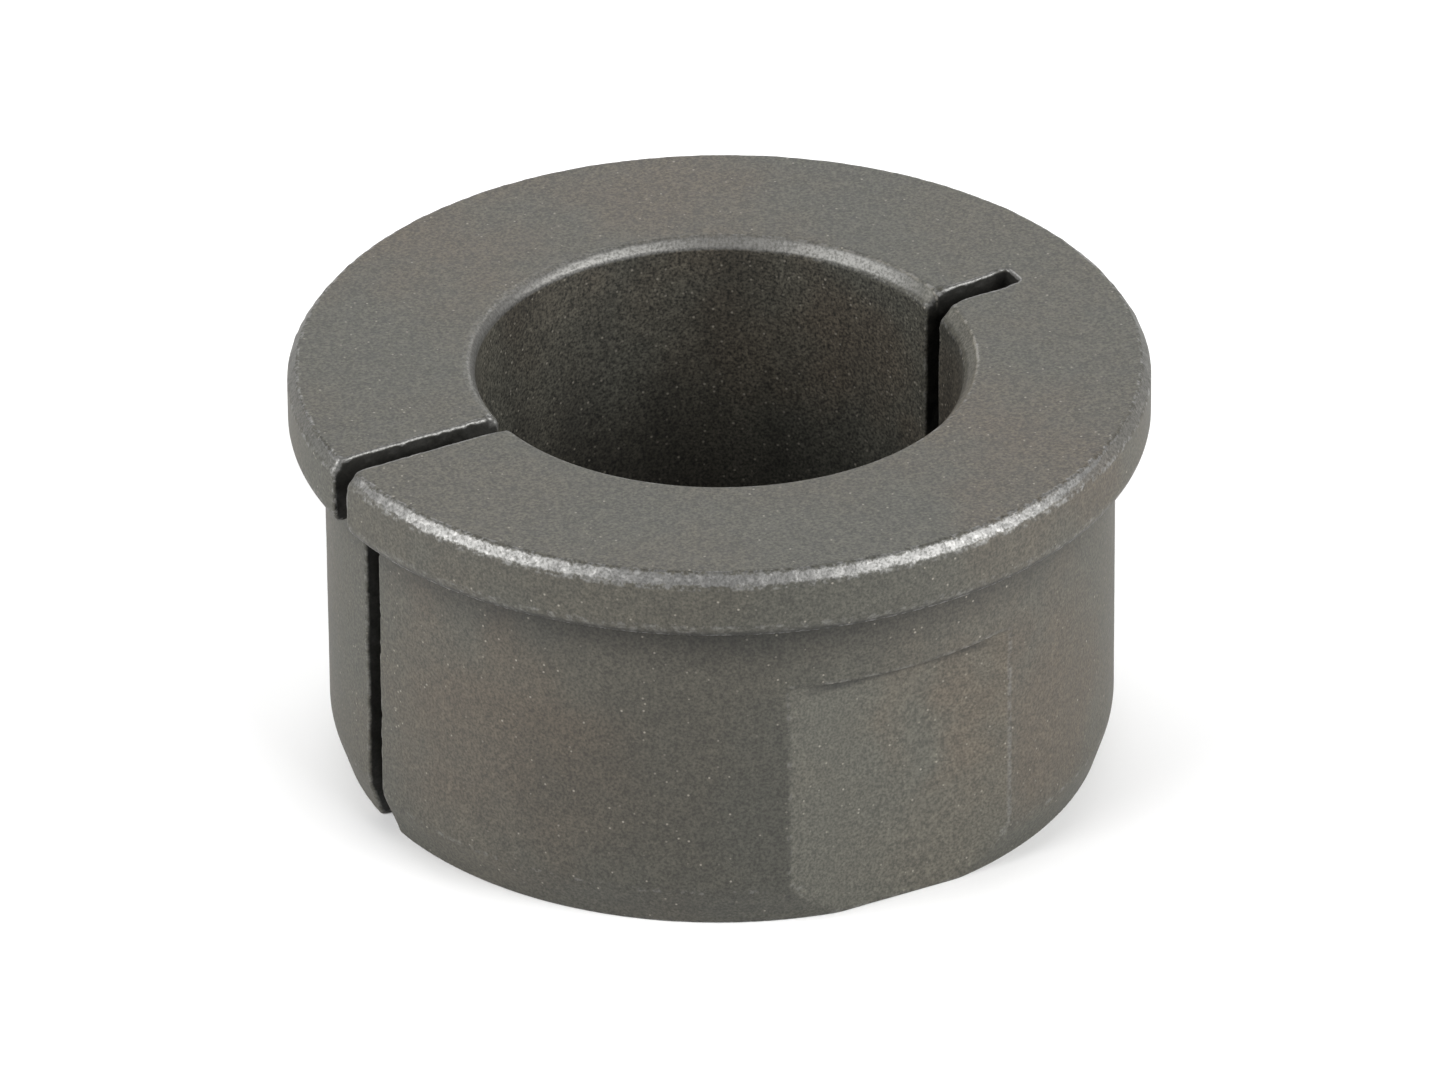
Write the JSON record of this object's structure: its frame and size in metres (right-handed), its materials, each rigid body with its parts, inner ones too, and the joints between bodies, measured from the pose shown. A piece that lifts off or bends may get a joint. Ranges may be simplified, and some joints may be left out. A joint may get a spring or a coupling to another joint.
{
  "type": "split flanged bushing",
  "caption": "Split flanged steel bushing: a through slit and an opposite blind slot leave a flexing web, so its jaws clamp a round shaft. A set-screw flat is milled outside.",
  "frame": {"origin": "on the bore axis, at the lower end face", "axes": "+Z along the bore axis towards the flanged end, -X through the through slit, +X through the blind slot and its web, -Y out of the set-screw flat"},
  "size_m": [0.045, 0.045, 0.0222],
  "materials": {
    "blackened_steel": "fine blasted and blackened, worn bright along the edges"
  },
  "bodies": {
    "rear_jaw": {"rear_jaw": "blackened_steel"},
    "front_jaw": {"front_jaw": "blackened_steel"}
  },
  "joints": [
    {"name": "web_hinge", "type": "hinge", "parent": "rear_jaw", "child": "front_jaw", "pos_m": [0.01775, 0, 0.01111], "axis": [0, 0, -1], "range_deg": [0, 0.9], "stiffness_Nm_per_rad": 4}
  ]
}
